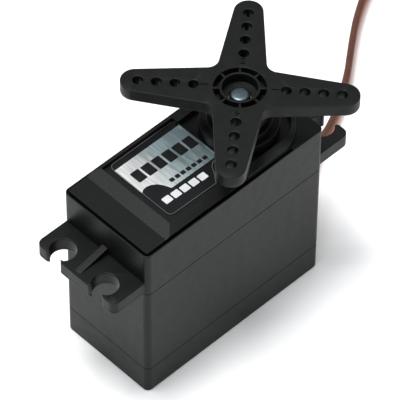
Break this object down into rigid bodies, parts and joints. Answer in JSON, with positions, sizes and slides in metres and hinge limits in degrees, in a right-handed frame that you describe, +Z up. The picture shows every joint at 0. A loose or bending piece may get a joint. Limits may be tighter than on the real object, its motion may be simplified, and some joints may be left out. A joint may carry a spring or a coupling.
{
  "type": "hobby servo motor",
  "caption": "Geared hobby servo motor: flat black case with slotted mounting ears, a star horn on its output shaft, and a ribbon lead.",
  "frame": {"origin": "where the output shaft's axis meets the case's flat underside", "axes": "+Z up along the output shaft, +X along the case towards the output end, +Y to the left seen from the output end's back"},
  "size_m": [0.1483, 0.0505, 0.045],
  "materials": {
    "black_plastic": "satin black nylon, moulded",
    "horn_plastic": "satin black nylon, moulded",
    "label_print": "glossy printed foil, silver and black",
    "screw_steel": "blackened steel screw",
    "bush_brass": "plain brass",
    "gear_nylon": "natural nylon",
    "pin_steel": "ground steel",
    "motor_steel": "plated steel",
    "magnet": "sintered magnet",
    "winding": "laminations with copper winding",
    "carbon": "carbon brush",
    "pot_case": "moulded case",
    "board": "green laminate",
    "chip": "black epoxy",
    "rubber": "soft black rubber",
    "lead": "brown, red and orange insulated wires",
    "connector_plastic": "black moulded housing"
  },
  "bodies": {
    "case": {"bottom_cover": "black_plastic", "middle_case": "black_plastic", "top_case": "black_plastic", "case_screw_1": "screw_steel", "case_screw_2": "screw_steel", "case_screw_3": "screw_steel", "case_screw_4": "screw_steel", "label": "label_print", "output_bush_lower": "bush_brass", "output_bush_upper": "bush_brass", "gear_pin_1": "pin_steel", "gear_pin_2": "pin_steel", "motor_can": "motor_steel", "motor_end_cap": "chip", "motor_magnet_1": "magnet", "motor_magnet_2": "magnet", "motor_brush_1": "carbon", "motor_brush_2": "carbon", "motor_terminal_1": "bush_brass", "motor_terminal_2": "bush_brass", "pot_body": "pot_case", "pot_terminal_1": "pin_steel", "pot_terminal_2": "pin_steel", "pot_terminal_3": "pin_steel", "circuit_board": "board", "control_chip": "chip", "capacitor": "motor_steel", "transistor_1": "chip", "transistor_2": "chip", "lead_strain_relief": "rubber", "lead_inner": "lead", "lead_ribbon": "lead", "lead_coil": "lead", "connector_housing": "connector_plastic"},
    "output": {"output_gear": "gear_nylon", "horn": "horn_plastic", "pot_shaft": "pin_steel"},
    "gear_1": {"gear_1": "gear_nylon"},
    "gear_2": {"gear_2": "gear_nylon"},
    "gear_3": {"gear_3": "gear_nylon"},
    "rotor": {"motor_armature": "winding", "motor_commutator": "bush_brass", "motor_shaft": "pin_steel", "motor_pinion": "bush_brass"}
  },
  "joints": [
    {"name": "rotor_spin", "type": "hinge", "parent": "case", "child": "rotor", "pos_m": [-0.01771, 0, 0.0076], "axis": [0, 0, 1], "range_deg": [-4243.5, 4243.5]},
    {"name": "gear_1_spin", "type": "hinge", "parent": "case", "child": "gear_1", "pos_m": [-0.01057, -0.00195, 0.0257], "axis": [0, 0, 1], "range_deg": [-1574, 1574]},
    {"name": "gear_2_spin", "type": "hinge", "parent": "case", "child": "gear_2", "pos_m": [-0.01598, 0.0028, 0.0279], "axis": [0, 0, 1], "range_deg": [-607, 607]},
    {"name": "gear_3_spin", "type": "hinge", "parent": "case", "child": "gear_3", "pos_m": [-0.01057, -0.00195, 0.0299], "axis": [0, 0, 1], "range_deg": [-235, 235]},
    {"name": "output_spin", "type": "hinge", "parent": "case", "child": "output", "pos_m": [0, 0, 0.0237], "axis": [0, 0, 1], "range_deg": [-90, 90]}
  ],
  "couplings": [
    {"joint": "gear_1_spin", "follows": "rotor_spin", "ratio": -0.37037},
    {"joint": "gear_2_spin", "follows": "rotor_spin", "ratio": 0.14245},
    {"joint": "gear_3_spin", "follows": "rotor_spin", "ratio": -0.054789},
    {"joint": "output_spin", "follows": "rotor_spin", "ratio": 0.021208}
  ]
}
